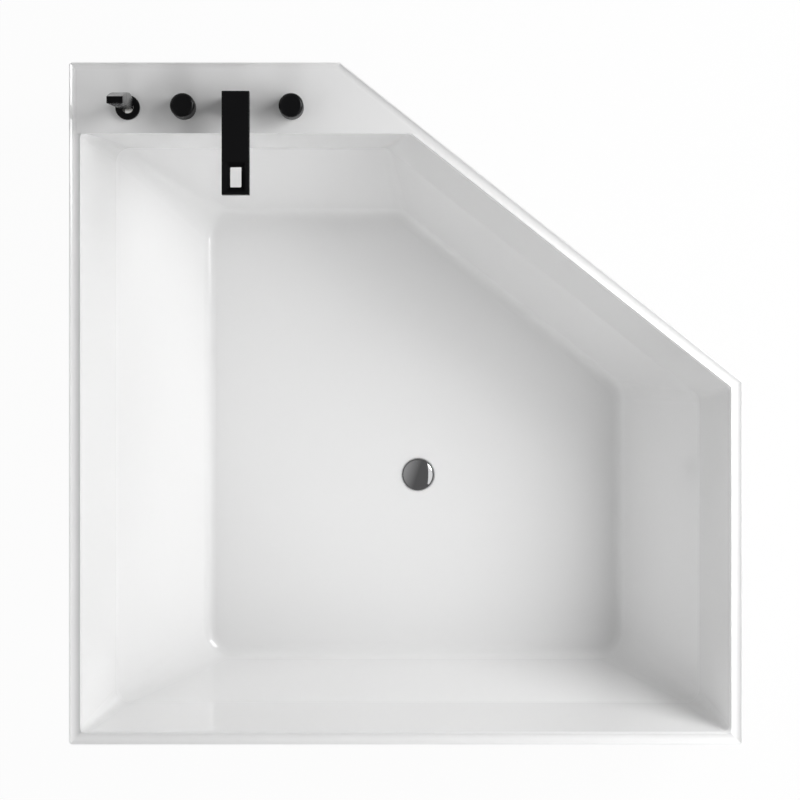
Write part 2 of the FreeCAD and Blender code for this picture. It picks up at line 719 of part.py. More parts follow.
board = new_body("board")
board_sketch = outline_sketch(board, board_z, board_inset, board_round)
draw_circle(board_sketch, waste_x, waste_y, board_hole)
pad(board, board_sketch, board_thickness)
node("floor_board", cut(board, *[cylinder(screw_radius, screw_bite, x, y, board_z)
                                 for x, y in rail_screws]))


def rail(y, right):
    """Square tube with holes for its screws and the studs of its feet."""
    length = right - rail_left
    inner = rail_width - rail_wall * 2
    tube = box(length, rail_width, rail_width, rail_left, y - rail_width / 2, rail_z)
    bore = box(length, inner, inner, rail_left, y - inner / 2, rail_z + rail_wall)
    holes = [cylinder(screw_radius, rail_width, x, at, rail_z)
             for x, at in rail_screws if at is y]
    holes += [cylinder(stud_radius + stud_play, rail_wall, x, at, rail_z)
              for x, at in feet if at is y]
    return cut(tube, bore, *holes)


def end_cap(x, y, inward):
    inner = rail_width - rail_wall * 2
    plate_x = x - cap_plate if inward > 0 else x
    plug_x = x if inward > 0 else x - cap_plug
    plate = box(cap_plate, rail_width, rail_width, plate_x, y - rail_width / 2, rail_z)
    plug = box(cap_plug, inner, inner, plug_x, y - inner / 2, rail_z + rail_wall)
    return fuse(plate, plug)


end_caps = []
for rail_name, (rail_y, rail_right, foot_ends) in rails.items():
    node(rail_name, rail(rail_y, rail_right))
    end_caps += [end_cap(rail_left, rail_y, 1), end_cap(rail_right, rail_y, -1)]
node("rail_end_caps", group(end_caps))
node("rail_screws", group([
    fuse(cylinder(screw_radius, rail_width + screw_bite, x, y, rail_z),
         hexagon(screw_head * 2, screw_head_height, x, y, rail_z - screw_head_height))
    for x, y in rail_screws]))
node("foot_lock_nuts", group([
    nut(nut_flats, stud_radius + stud_play, nut_height, x, y, rail_z - nut_height)
    for x, y in feet]))

for foot_index, (x, y) in enumerate(feet, start=1):
    stud_top = board_z - rail_wall - stud_headroom
    node(f"foot_stud_{foot_index}", cylinder(stud_radius, stud_top - pad_rim, x, y, pad_rim))
    node(f"foot_pad_{foot_index}", turned("pad", [
        (NONE, NONE), (pad_radius, NONE), (pad_radius, pad_rim), (pad_neck, pad_height),
        (stud_radius, pad_height), (stud_radius, pad_rim), (NONE, pad_rim)], x, y))

# --------------------------------------------------------------- apron panels, clips and brackets
panel_face = sheet_wall + panel_gap
panel_back = panel_face + panel_wall
panel_top = rim_under - clip_wall


def apron_line(inset):
    """Corners of a line behind the skirt on the open sides; the wall sides stay at the panel's face."""
    return corners(insets(panel_face, inset, inset, inset, panel_face))


def apron_panel(name, first, second):
    lines = [apron_line(inset) for inset in (panel_face, panel_back, panel_back + panel_return)]
    body = new_body(name)
    strips = ((lines[0], lines[1], panel_top - panel_clearance), (lines[1], lines[2], panel_wall))
    for outer, inner, height in strips:
        sketch = new_sketch(body, "XY_Plane", panel_clearance)
        draw_polygon(sketch, [outer[first], outer[second], inner[second], inner[first]])
        pad(body, sketch, height)
    return body


node("apron_tap_side", apron_panel("apron_tap", 1, 2))
node("apron_open_side", apron_panel("apron_open", 2, 3))
node("apron_right_side", apron_panel("apron_right", 3, 4))


def rim_clip(start, way, along):
    """U-shaped spring clip between the skirt and the top edge of a panel."""
    inward = (way[1], -way[0])
    body = new_body("rim_clip")
    web_back = panel_back + clip_wall
    strips = ((sheet_wall, panel_face, clip_leg), (sheet_wall, web_back, clip_wall),
              (panel_back, web_back, clip_leg))
    for near, far, height in strips:
        spots = [(along, near), (along + clip_length, near), (along + clip_length, far), (along, far)]
        sketch = new_sketch(body, "XY_Plane", rim_under - height)
        draw_polygon(sketch, [(start[0] + way[0] * run + inward[0] * step,
                               start[1] + way[1] * run + inward[1] * step) for run, step in spots])
        pad(body, sketch, height)
    return body


outline = corners(even(NONE))
clipped_sides = (
    (outline[1], (as_size(1), NONE), tap_edge, short_side_clips),
    (outline[2], (open_ny, -open_nx), cut_length, long_side_clips),
    (outline[3], (NONE, as_size(-1)), open_edge, long_side_clips),
)
node("rim_clips", group([rim_clip(start, way, place - clip_length / 2)
                         for start, way, length, count in clipped_sides
                         for place in spread(length, clip_from_end, count)]))


def wall_bracket(plane, wall, along):
    """Z-shaped plate that holds the skirt's edge against the wall."""
    skirt_back = sheet_wall + bracket_wall
    tongue_z = skirt_z - bracket_wall
    body = new_body("wall_bracket")
    sketch = new_sketch(body, plane, along)
    draw_polygon(sketch, [
        (wall, skirt_z - bracket_leg), (wall + bracket_wall, skirt_z - bracket_leg),
        (wall + bracket_wall, tongue_z), (wall + skirt_back, tongue_z),
        (wall + skirt_back, rim_under), (wall + sheet_wall, rim_under),
        (wall + sheet_wall, skirt_z), (wall, skirt_z)])
    pad(body, sketch, bracket_width).Midplane = True
    return body


def bracket_drill(x, y, along):
    hole_z = skirt_z - bracket_hole_drop
    drill = cylinder(bracket_hole, bracket_wall, x, y, hole_z, "X")
    if along == "Y":
        drill.Placement = FreeCAD.Placement(
            FreeCAD.Vector(), FreeCAD.Rotation(FreeCAD.Vector(1, 0, 0), -90))
        move(drill, x, y, hole_z)
    return drill


wall_brackets = []
for y in (bracket_from_end - half_length, half_length - bracket_from_end):
    wall_brackets.append(cut(wall_bracket("XZ_Plane", -half_width, -y),
                             bracket_drill(-half_width, y, "X")))
for x in (bracket_from_end - half_width, half_width - bracket_from_end):
    wall_brackets.append(cut(wall_bracket("YZ_Plane", -half_length, x),
                             bracket_drill(x, -half_length, "Y")))
node("wall_brackets", group(wall_brackets))

# ---------------------------------------------------------------------------- waste and its plug
gasket_z = floor_z - recess_depth
ring_z = gasket_z + upper_gasket
ring_top = ring_z + flange_height
tail_bore = tail_radius - tail_wall
tail_bottom = floor_under - tail_length
node("waste_upper_gasket", ring(gasket_radius, tail_radius, upper_gasket, waste_x, waste_y, gasket_z))
node("waste_lower_gasket", ring(gasket_radius, tail_radius, lower_gasket, waste_x, waste_y,
                                floor_under - lower_gasket))
backnut_top = floor_under - lower_gasket
node("waste_back_nut", nut(backnut_flats, tail_radius, backnut_height, waste_x, waste_y,
                           backnut_top - backnut_height))


def waste_flange():
    """Ring and threaded tube, with a hub on spokes that guides the plug's stem."""
    tube = turned("waste_tube", [
        (tail_bore, tail_bottom), (tail_radius, tail_bottom), (tail_radius, ring_z),
        (flange_radius, ring_z), (flange_radius, ring_z + flange_edge),
        (flange_radius - edge_ease, ring_top), (tail_bore + edge_ease, ring_top),
        (tail_bore, ring_top - edge_ease)], waste_x, waste_y)
    hub_z = ring_top - hub_drop - hub_height
    hub = cylinder(hub_radius, hub_height, waste_x, waste_y, hub_z)
    bore = cylinder(stem_radius + stem_play, hub_height, waste_x, waste_y, hub_z)
    spokes = []
    for index in range(spoke_count):
        turn = math.radians(360 * index / spoke_count)
        ux, uy = math.cos(turn), math.sin(turn)
        inner = stem_radius + (hub_radius - stem_radius) / 2
        outer = tail_bore + tail_wall / 2
        half = spoke_width / 2
        spots = [(inner, -half), (outer, -half), (outer, half), (inner, half)]
        spokes.append(extruded("spoke", [
            (waste_x + run * ux - side * uy, waste_y + run * uy + side * ux) for run, side in spots],
            hub_z, spoke_height))
    return cut(fuse(tube, hub, *spokes), bore)


node("waste_flange", waste_flange())

plug_z = ring_top + plug_gap
seal_outer = tail_bore - plug_gap


def plug_cap():
    """Domed disc: a flat underside, a short edge and an arc to the crown."""
    body = new_body("plug")
    sketch = new_sketch(body, "XZ_Plane", NONE)
    rise = plug_crown - plug_edge
    bend = (plug_radius * plug_radius + rise * rise) / (rise * 2)
    top_z = plug_z + plug_crown
    edge_top = (plug_radius, plug_z + plug_edge)
    centre = (NONE, top_z - bend)
    start = math.atan2(edge_top[1].value - centre[1].value, edge_top[0].value)
    circle = Part.Circle(vector(centre), FreeCAD.Vector(0, 0, 1), bend.value)
    spots = [(NONE, top_z), (NONE, plug_z), (plug_radius, plug_z), edge_top]
    for near, far in zip(spots, spots[1:]):
        sketch.addGeometry(Part.LineSegment(vector(near), vector(far)))
    arc = sketch.addGeometry(Part.ArcOfCircle(circle, start, math.pi / 2))
    for index in range(arc - 1):
        sketch.addConstraint(Sketcher.Constraint("Coincident", index, 2, index + 1, 1))
    sketch.addConstraint(Sketcher.Constraint("Coincident", arc - 1, 2, arc, 1))
    sketch.addConstraint(Sketcher.Constraint("Coincident", arc, 2, 0, 1))
    for index, spot in enumerate(spots[:arc]):
        place_point(sketch, index, 1, spot)
    place_point(sketch, arc - 1, 2, edge_top)
    index = sketch.addConstraint(Sketcher.Constraint("Radius", arc, bend.value))
    bind(sketch, f"Constraints[{index}]", bend)
    revolve(body, sketch)
    return move(body, waste_x, waste_y)


node("plug_cap", plug_cap())
node("plug_stem", cylinder(stem_radius, stem_length, waste_x, waste_y, plug_z - stem_length))
node("plug_seal", ring(seal_outer, seal_outer - seal_width, seal_height, waste_x, waste_y,
                       plug_z - seal_height))

# ------------------------------------------------------------------------------------ the trap
collar_top = tail_bottom - trap_seal
collar_z = collar_top - collar_height
trap_top = collar_z - trap_neck
trap_bottom = trap_top - trap_height
outlet_z = trap_top - outlet_drop
node("trap_washer", ring(collar_radius, dip_radius, trap_seal, waste_x, waste_y, collar_top))
node("trap_union_nut", turned("union_nut", [
    (tail_radius, tail_bottom + union_grip), (collar_radius + union_wall, tail_bottom + union_grip),
    (collar_radius + union_wall, collar_z - union_lip), (tail_radius, collar_z - union_lip),
    (tail_radius, collar_z), (collar_radius, collar_z), (collar_radius, tail_bottom),
    (tail_radius, tail_bottom)], waste_x, waste_y))


def trap_body():
    """Bowl with a dip tube inside, an inlet collar on top and an outlet socket at the side."""
    inside = trap_radius - trap_wall
    dip_outer = dip_radius + trap_wall
    roof = trap_top + trap_bevel
    floor = trap_bottom + trap_wall
    dip_bottom = trap_bottom + dip_gap
    bowl = turned("trap_bowl", [
        (NONE, trap_bottom), (trap_radius - trap_bevel, trap_bottom),
        (trap_radius, trap_bottom + trap_bevel), (trap_radius, trap_top - trap_bevel),
        (trap_radius - trap_bevel, trap_top), (tail_radius, roof), (tail_radius, collar_z),
        (collar_radius, collar_z), (collar_radius, collar_top), (dip_radius, collar_top),
        (dip_radius, dip_bottom), (dip_outer, dip_bottom), (dip_outer, roof - trap_roof),
        (inside - trap_bevel, trap_top - trap_roof), (inside, trap_top - trap_bevel - trap_roof),
        (inside, floor + trap_bevel), (inside - trap_bevel, floor), (NONE, floor)],
        waste_x, waste_y)
    start = inside - trap_wall
    reach = socket_reach - start
    socket = cylinder(socket_bore + socket_wall, reach, waste_x - start, waste_y, outlet_z, "-X")
    clearing = turned("bowl_space", [
        (NONE, floor), (inside, floor), (inside, trap_top - trap_bevel - trap_roof),
        (NONE, trap_top - trap_bevel - trap_roof)], waste_x, waste_y)
    bore = cylinder(socket_bore, socket_depth, waste_x - socket_reach + socket_depth, waste_y,
                    outlet_z, "-X")
    passage = cylinder(socket_bore - socket_step, reach, waste_x - start, waste_y, outlet_z, "-X")
    return cut(fuse(bowl, cut(socket, clearing)), bore, passage)


node("trap_body", trap_body())
outlet_x = waste_x - socket_reach
nut_end = outlet_x - outlet_seal_length - outlet_nut_lip
nut_start = nut_end + outlet_nut_length
socket_outside = socket_bore + socket_wall
node("outlet_seal", ring(socket_outside, socket_bore + outlet_seal_play, outlet_seal_length,
                         outlet_x, waste_y, outlet_z, "-X"))
node("outlet_nut", cut(
    cylinder(socket_outside + outlet_nut_wall, outlet_nut_length, nut_start, waste_y, outlet_z, "-X"),
    cylinder(socket_outside, outlet_nut_length - outlet_nut_lip, nut_start, waste_y, outlet_z, "-X"),
    cylinder(socket_bore + outlet_nut_play, outlet_nut_length, nut_start, waste_y, outlet_z, "-X")))

# ------------------------------------------------------------------------------------ deck valves
block_top = rim_under - valve_neck
block_z = block_top - valve_block_height
rose_top = deck_z + rose_height
low_z = block_z + port_low
high_z = block_z + port_high
hose_z = block_z + port_side


def valve_casting(x, ports, extra):
    """Square brass body with a round neck that passes through the deck."""
    half = valve_block / 2
    block = box(valve_block, valve_block, valve_block_height, x - half, tap_y - half, block_z)
    neck = cylinder(valve_shank, rose_top - block_top, x, tap_y, block_top)
    bore_z = rim_under - spindle_drop - spindle_room
    bore = cylinder(spindle_radius + spindle_play, rose_top - bore_z, x, tap_y, bore_z)
    return cut(fuse(block, neck, *extra), bore, *ports)


def valve_trim(name, x):
    """Collar on the deck, nut below it, and the handle pressed on its spindle."""
    node(f"{name}_collar", turned(f"{name}_collar", [
        (valve_shank, NONE), (rose_radius, NONE), (rose_radius, rose_height - edge_ease),
        (rose_radius - edge_ease, rose_height), (valve_shank, rose_height)], x, tap_y, deck_z))
    node(f"{name}_nut", nut(valve_nut_flats, valve_shank, valve_nut_height, x, tap_y,
                            rim_under - valve_nut_height))
    knob_z = rose_top + knob_gap
    roof = knob_height - knob_roof
    bore_top = roof - spindle_end
    skirt = knob_radius - knob_wall
    node(f"{name}_knob", turned(f"{name}_knob", [
        (NONE, knob_height), (knob_radius - edge_ease, knob_height),
        (knob_radius, knob_height - edge_ease), (knob_radius, NONE), (skirt, NONE), (skirt, roof),
        (knob_boss, roof), (knob_boss, knob_boss_lift), (spindle_radius, knob_boss_lift),
        (spindle_radius, bore_top), (NONE, bore_top)], x, tap_y, knob_z))
    spindle_z = rim_under - spindle_drop
    node(f"{name}_spindle", cylinder(spindle_radius, knob_z + bore_top - spindle_z, x, tap_y,
                                     spindle_z))


half_block = valve_block / 2
mixer_left = mixer_x - half_block
diverter_right = diverter_x + half_block
diverter_left = diverter_x - half_block
inlets = {"hot_inlet_tail": mixer_x - inlet_offset, "cold_inlet_tail": mixer_x + inlet_offset}
node("mixer_body", valve_casting(
    mixer_x,
    [cylinder(port_radius, port_depth, mixer_left + port_depth, tap_y, low_z, "-X")]
    + [cylinder(port_radius, port_depth, x, tap_y, block_z) for x in inlets.values()], []))
node("diverter_body", valve_casting(
    diverter_x,
    [cylinder(port_radius, port_depth, diverter_right - port_depth, tap_y, z, "X")
     for z in (low_z, high_z)]
    + [cylinder(port_bore, hose_nipple_length + port_depth, diverter_left + port_depth, tap_y,
                hose_z, "-X")],
    [cylinder(inlet_thread, hose_nipple_length + port_depth, diverter_left + port_depth, tap_y,
              hose_z, "-X")]))
valve_trim("mixer", mixer_x)
valve_trim("diverter", diverter_x)

for tail_name, tail_x in inlets.items():
    tail_z = block_z - inlet_length
    node(tail_name, cut(
        fuse(cylinder(port_radius, inlet_length + port_depth, tail_x, tap_y, tail_z),
             cylinder(inlet_thread, inlet_thread_length, tail_x, tap_y, tail_z)),
        cylinder(port_bore, inlet_length + port_depth, tail_x, tap_y, tail_z)))

mixed_start = diverter_right - port_depth
node("mixed_water_pipe", ring(port_radius, port_bore, mixer_left + port_depth - mixed_start,
                              mixed_start, tap_y, low_z, "X"))

# ------------------------------------------------------------------------------------------ spout
shank_z = rim_under - shank_length
spout_z = deck_z + spout_gasket_height
column_rear = tap_y + spout_column / 2
column_front = tap_y - spout_column / 2
spout_rear = column_rear + spout_overhang
spout_tip = spout_rear - spout_length
spout_top = deck_z + spout_height
bar_under = spout_top - spout_bar


def spout_pipe():
    """Bent pipe from the diverter to the lower end of the spout's shank."""
    body = new_body("spout_pipe")
    path = new_sketch(body, "XZ_Plane", -tap_y)
    turn_x = spout_x - feed_bend
    spots = [(mixed_start, high_z), (turn_x, high_z), (spout_x, high_z + feed_bend),
             (spout_x, shank_z + port_depth)]
    centre = (turn_x, high_z + feed_bend)
    path.addGeometry(Part.LineSegment(vector(spots[0]), vector(spots[1])))
    circle = Part.Circle(vector(centre), FreeCAD.Vector(0, 0, 1), feed_bend.value)
    path.addGeometry(Part.ArcOfCircle(circle, -math.pi / 2, 0))
    path.addGeometry(Part.LineSegment(vector(spots[2]), vector(spots[3])))
    path.addConstraint(Sketcher.Constraint("Coincident", 0, 2, 1, 1))
    path.addConstraint(Sketcher.Constraint("Coincident", 1, 2, 2, 1))
    for geometry, vertex, spot in ((0, 1, spots[0]), (0, 2, spots[1]), (2, 1, spots[2]),
                                   (2, 2, spots[3])):
        place_point(path, geometry, vertex, spot)
    bend = path.addConstraint(Sketcher.Constraint("Radius", 1, feed_bend.value))
    bind(path, f"Constraints[{bend}]", feed_bend)
    section = new_sketch(body, "YZ_Plane", mixed_start)
    draw_circle(section, tap_y, high_z, port_radius)
    draw_circle(section, tap_y, high_z, port_bore)
    pipe = add_feature(body, "AdditivePipe", section)
    pipe.Spine = (path, ["Edge1", "Edge2", "Edge3"])
    return body


node("spout_water_pipe", spout_pipe())
node("spout_shank", cut(
    cylinder(spout_shank, spout_z + shank_bite - shank_z, spout_x, tap_y, shank_z),
    cylinder(port_radius, spout_z + shank_bite - shank_z, spout_x, tap_y, shank_z)))
node("spout_washer", ring(spout_washer_radius, spout_shank, spout_washer_height, spout_x, tap_y,
                          rim_under - spout_washer_height))
node("spout_nut", nut(spout_nut_flats, spout_shank, valve_nut_height, spout_x, tap_y,
                      rim_under - spout_washer_height - valve_nut_height))
node("spout_gasket", cut(
    box(spout_column, spout_column, spout_gasket_height, spout_x - spout_column / 2, column_front,
        deck_z),
    cylinder(spout_shank, spout_gasket_height, spout_x, tap_y, deck_z)))


def spout_body():
    """Square column and flat bar in one piece, with a bevelled opening near the tip."""
    body = new_body("spout")
    blocks = ((bar_under, spout_top, spout_tip, spout_rear, spout_width),
              (spout_z, bar_under, column_front, column_rear, spout_column))
    for low, high, front, rear, width in blocks:
        side = new_sketch(body, "YZ_Plane", spout_x)
        draw_polygon(side, [(rear, low), (rear, high), (front, high), (front, low)])
        pad(body, side, width).Midplane = True
    doc.recompute()
    block = body.Tip
    outer = []
    for index, edge in enumerate(block.Shape.Edges, start=1):
        bounds = edge.BoundBox
        on_deck = bounds.ZMax < spout_z.value + 0.01
        level = bounds.ZLength < 0.01 and bounds.ZMin < bar_under.value + 0.01
        round_column = level and max(bounds.XLength, bounds.YLength) < spout_column.value + 0.01
        if not on_deck and not round_column:
            outer.append(f"Edge{index}")
    ease = body.newObject("PartDesign::Fillet", "ease")
    ease.Base = (block, outer)
    bind(ease, "Radius", spout_edge)

    opening = new_body("window")
    window = new_sketch(opening, "XY_Plane", bar_under)
    near, far = spout_tip + window_lead, spout_tip + window_lead + window_length
    half = window_width / 2
    draw_polygon(window, [(spout_x - half, near), (spout_x - half, far), (spout_x + half, far),
                          (spout_x + half, near)])
    pad(opening, window, spout_bar)
    doc.recompute()
    prism = opening.Tip
    upright = [f"Edge{index}" for index, edge in enumerate(prism.Shape.Edges, start=1)
               if edge.BoundBox.ZLength > spout_bar.value / 2]
    corner = opening.newObject("PartDesign::Fillet", "corner")
    corner.Base = (prism, upright)
    bind(corner, "Radius", window_round)

    bevel = new_body("window_bevel")
    mouths = []
    for level, grow in ((spout_top - window_bevel, NONE), (spout_top, window_bevel)):
        mouth = new_sketch(bevel, "XY_Plane", level)
        draw_polygon(mouth, [
            (spout_x - half - grow, near - grow), (spout_x - half - grow, far + grow),
            (spout_x + half + grow, far + grow), (spout_x + half + grow, near - grow)])
        mouths.append(mouth)
    loft = add_feature(bevel, "AdditiveLoft", mouths[0])
    loft.Sections = mouths[1:]
    loft.Ruled = True

    socket = cylinder(spout_shank, shank_bite, spout_x, tap_y, spout_z)
    channel_z = bar_under + channel_lift
    riser_z = spout_z + shank_bite
    riser = cylinder(port_radius, channel_z + channel_height - riser_z, spout_x, tap_y, riser_z)
    channel = box(channel_width, tap_y - far + window_round, channel_height,
                  spout_x - channel_width / 2, far - window_round, channel_z)
    return cut(body, opening, bevel, socket, riser, channel)


node("spout_body", spout_body())

# ------------------------------------------------------------------- shower socket and hand shower
socket_z = rim_under - socket_stem_length
hose_setback = handset_foot_depth / 2 - handset_front


def lean(piece):
    """Stand a hand shower piece in the socket, leaning towards the basin."""
    piece.Placement = FreeCAD.Placement(
        FreeCAD.Vector(), FreeCAD.Rotation(FreeCAD.Vector(1, 0, 0), handset_lean.value))
    bind(piece, "Placement.Rotation.Angle", handset_lean)
    return move(piece, shower_x, tap_y, deck_z + socket_height + handset_lift)


def behind(piece):
    """Set a turned piece on the hose's axis, in the middle of the bar's foot."""
    return group([move(piece, NONE, hose_setback)])


def draw_outline(sketch, spots, bends):
    """Closed outline; bends gives centre and radius of the edges that are arcs."""
    count = len(spots)
    for index, spot in enumerate(spots):
        start, end = vector(spot), vector(spots[(index + 1) % count])
        if index in bends:
            centre, radius = bends[index]
            middle = vector(centre)
            circle = Part.Circle(middle, FreeCAD.Vector(0, 0, 1), radius.value)
            first, last = (math.atan2(end_spot.y - middle.y, end_spot.x - middle.x)
                           for end_spot in (start, end))
            turn = 2 * math.pi if last < first else 0
            sketch.addGeometry(Part.ArcOfCircle(circle, first, last + turn))
        else:
            sketch.addGeometry(Part.LineSegment(start, end))
    for index, spot in enumerate(spots):
        before = (index - 1) % count
        sketch.addConstraint(Sketcher.Constraint("Coincident", before, 2, index, 1))
        place_point(sketch, index, 1, spot)
    for index, (centre, radius) in bends.items():
        bend = sketch.addConstraint(Sketcher.Constraint("Radius", index, radius.value))
        bind(sketch, f"Constraints[{bend}]", radius)


def bulge(run, rise):
    """Radius of an arc that starts upright and moves sideways by a rise over a run."""
    return (run * run + rise * rise) / (rise * 2)


def hose_nut(play):
    """Conical nut below the bar; with some play it is the seat that the socket has for it."""
    profile = [(NONE, -hose_nut_length - play), (hose_nut_radius - hose_nut_taper + play,
                                                 -hose_nut_length - play),
               (hose_nut_radius + play, -hose_nut_length / 2 - play)]
    if play is NONE:
        profile += [(hose_nut_radius, NONE), (nipple_radius, NONE), (nipple_radius, nipple_length),
                    (NONE, nipple_length)]
    else:
        profile += [(hose_nut_radius + play, play), (NONE, play)]
    return turned("hose_nut", profile)


def socket_form():
    """Round head on the deck with a stem below it, bored for the hose, with a seat for its nut."""
    form = turned("socket_head", [
        (NONE, socket_z), (socket_stem, socket_z), (socket_stem, deck_z), (socket_radius, deck_z),
        (socket_radius, deck_z + socket_height - edge_ease),
        (socket_radius - edge_ease, deck_z + socket_height), (NONE, deck_z + socket_height)],
        shower_x, tap_y)
    bore = cylinder(hose_passage, deck_z + socket_height - socket_z, shower_x, tap_y, socket_z)
    return cut(form, bore, lean(behind(hose_nut(seat_play))))


def handset_bar():
    """Flat-fronted bar: arched sides widen to the top, an arched back is fullest at the grip."""
    foot = handset_foot_width / 2
    top = handset_top_width / 2
    foot_back = handset_foot_depth - handset_front
    grip_back = handset_grip_depth - handset_front
    top_back = handset_top_depth - handset_front
    beyond = grip_back + handset_front
    body = new_body("handset")
    face = new_sketch(body, "XZ_Plane", -beyond)
    flank = bulge(handset_length, top - foot)
    draw_outline(
        face, [(-foot, NONE), (foot, NONE), (top, handset_length), (-top, handset_length)],
        {1: ((top - flank, handset_length), flank), 3: ((flank - top, handset_length), flank)})
    pad(body, face, beyond + handset_front)
    behind_bar = new_sketch(body, "YZ_Plane", NONE)
    lower = bulge(handset_grip_height, grip_back - foot_back)
    upper = bulge(handset_length - handset_grip_height, grip_back - top_back)
    draw_outline(
        behind_bar, [(foot_back, NONE), (grip_back, handset_grip_height),
                     (top_back, handset_length), (beyond, handset_length), (beyond, NONE)],
        {0: ((grip_back - lower, handset_grip_height), lower),
         1: ((grip_back - upper, handset_grip_height), upper)})
    pocket = add_feature(body, "Pocket", behind_bar)
    pocket.Type = "ThroughAll"
    pocket.Midplane = True
    doc.recompute()
    bar = body.Tip
    sharp = []
    for index, edge in enumerate(bar.Shape.Edges, start=1):
        bounds = edge.BoundBox
        upright = bounds.ZLength > handset_top_depth.value
        at_top = bounds.ZMin > handset_length.value - 0.01
        if upright or at_top:
            sharp.append(f"Edge{index}")
    ease = body.newObject("PartDesign::Fillet", "ease")
    ease.Base = (bar, sharp)
    bind(ease, "Radius", handset_round)
    return body


def spray_block(depth):
    half = spray_width / 2
    bottom = handset_length - spray_top - spray_length
    front = -handset_front - spray_proud
    return box(spray_width, depth, spray_length, -half, front, bottom)


node("shower_socket", socket_form())
node("shower_socket_nut", nut(valve_nut_flats, socket_stem, valve_nut_height, shower_x, tap_y,
                              rim_under - valve_nut_height))
spray_depth = spray_proud + spray_inset
node("handset_body", lean(cut(handset_bar(), spray_block(spray_depth),
                              cylinder(nipple_radius, nipple_length, NONE, hose_setback, NONE))))
node("handset_spray_plate", lean(group([spray_block(spray_depth)])))
node("handset_hose_nut", lean(behind(hose_nut(NONE))))

# -------------------------------------------------------------------------- checks and STEP files
doc.recompute()
for thing in doc.Objects:
    if "Invalid" in thing.State or "Error" in thing.State:
        raise RuntimeError(f"{thing.Label} did not rebuild: {thing.State}")
for piece in nodes:
    if piece.Shape.isNull() or not piece.Shape.isValid() or not piece.Shape.Solids:
        raise RuntimeError(f"{piece.Label} has no valid solid")
os.makedirs("parts", exist_ok=True)
for piece in nodes:
    piece.Shape.exportStep(f"parts/{piece.Label}.step")
print(len(nodes), "nodes,", sum(len(piece.Shape.Solids) for piece in nodes), "solids")
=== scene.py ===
# %% [markdown]
# # Corner bathtub
# A white acrylic bathtub for a room's corner, seen from straight above.  The solid pieces come
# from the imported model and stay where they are.  This script gives every piece its finish, adds
# the fine pieces that are easier to make as meshes, and sets up the camera, the lights and the
# floor.

# %% Load the solid pieces
import json
import math

import bpy
import bmesh
from mathutils import Matrix, Vector


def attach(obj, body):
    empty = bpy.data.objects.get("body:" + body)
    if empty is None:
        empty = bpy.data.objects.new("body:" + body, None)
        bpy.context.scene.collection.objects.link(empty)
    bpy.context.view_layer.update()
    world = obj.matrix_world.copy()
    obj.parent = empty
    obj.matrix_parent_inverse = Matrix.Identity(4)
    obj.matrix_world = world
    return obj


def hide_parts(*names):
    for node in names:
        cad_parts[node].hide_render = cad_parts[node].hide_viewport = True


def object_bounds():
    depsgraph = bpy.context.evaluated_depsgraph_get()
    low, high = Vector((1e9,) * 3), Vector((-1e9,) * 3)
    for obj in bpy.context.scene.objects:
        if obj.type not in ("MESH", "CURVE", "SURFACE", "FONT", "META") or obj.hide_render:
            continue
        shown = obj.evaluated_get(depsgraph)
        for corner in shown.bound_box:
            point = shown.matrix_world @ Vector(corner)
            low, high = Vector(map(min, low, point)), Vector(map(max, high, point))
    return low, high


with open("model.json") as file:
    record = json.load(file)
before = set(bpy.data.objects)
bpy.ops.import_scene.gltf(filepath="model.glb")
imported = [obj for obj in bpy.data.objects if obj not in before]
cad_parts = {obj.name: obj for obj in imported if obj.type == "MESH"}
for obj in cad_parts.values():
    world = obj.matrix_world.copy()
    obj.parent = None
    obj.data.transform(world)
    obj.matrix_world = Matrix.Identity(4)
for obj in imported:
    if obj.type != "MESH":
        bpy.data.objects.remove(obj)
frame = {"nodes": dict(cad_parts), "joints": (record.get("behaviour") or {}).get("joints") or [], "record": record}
cad_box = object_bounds()
NODES = frame["nodes"]
low, high = cad_box
print("solid model, metres:", [round(value, 4) for value in high - low])

# %% [markdown]
# Sizes and places are taken from the solid pieces wherever that is possible, so that what is added
# here follows them.  A piece's box is measured on its vertices, after its own matrix has carried
# them to their place in the room.

# %% Measure a solid piece


def box_of(name):
    """Lowest and highest corner of a solid piece, in metres."""
    piece = NODES[name]
    spots = [piece.matrix_world @ vertex.co for vertex in piece.data.vertices]
    return [Vector([pick(spot[axis] for spot in spots) for axis in range(3)]) for pick in (min, max)]


RIM = box_of("tub_shell")[1].z
print("rim above the floor, metres:", round(RIM, 4))

# %% [markdown]
# The camera of a catalogue picture from above hangs far away, so that the basin's walls look alike
# on all sides.  The tub's known side tells how wide the whole picture is at the rim's height, and
# that width and the distance give the lens.  The picture's middle isn't quite the tub's middle, so
# the camera stands a few millimetres off it.

# %% Camera
CAMERA_MIDDLE = (-0.012, 0.0073)
CAMERA_ABOVE_RIM = 6.0
WIDTH_AT_RIM = 1.6632
SENSOR_MM = 36.0

camera = bpy.data.objects.new("camera", bpy.data.cameras.new("camera"))
camera.location = (*CAMERA_MIDDLE, RIM + CAMERA_ABOVE_RIM)
camera.data.sensor_width = SENSOR_MM
camera.data.lens = SENSOR_MM * CAMERA_ABOVE_RIM / WIDTH_AT_RIM
bpy.context.scene.collection.objects.link(camera)
bpy.context.scene.camera = camera
print("lens, mm:", round(camera.data.lens, 1))

# %% [markdown]
# The light is soft and comes mostly from the right, like large studio softboxes beside the tub.
# A lamp's size decides how soft the shadows are, and its distance how evenly it lights the basin.
# The main box gives the taps their shadows on the deck, and the wide panel behind it is what the
# chrome mirrors.  The weak cards round the tub lift the shaded walls.  They would show as spots in
# the glossy acrylic, so glossy rays don't see them.

# %% Lamps
LIT_SPOT = Vector((0, 0, 0.4))


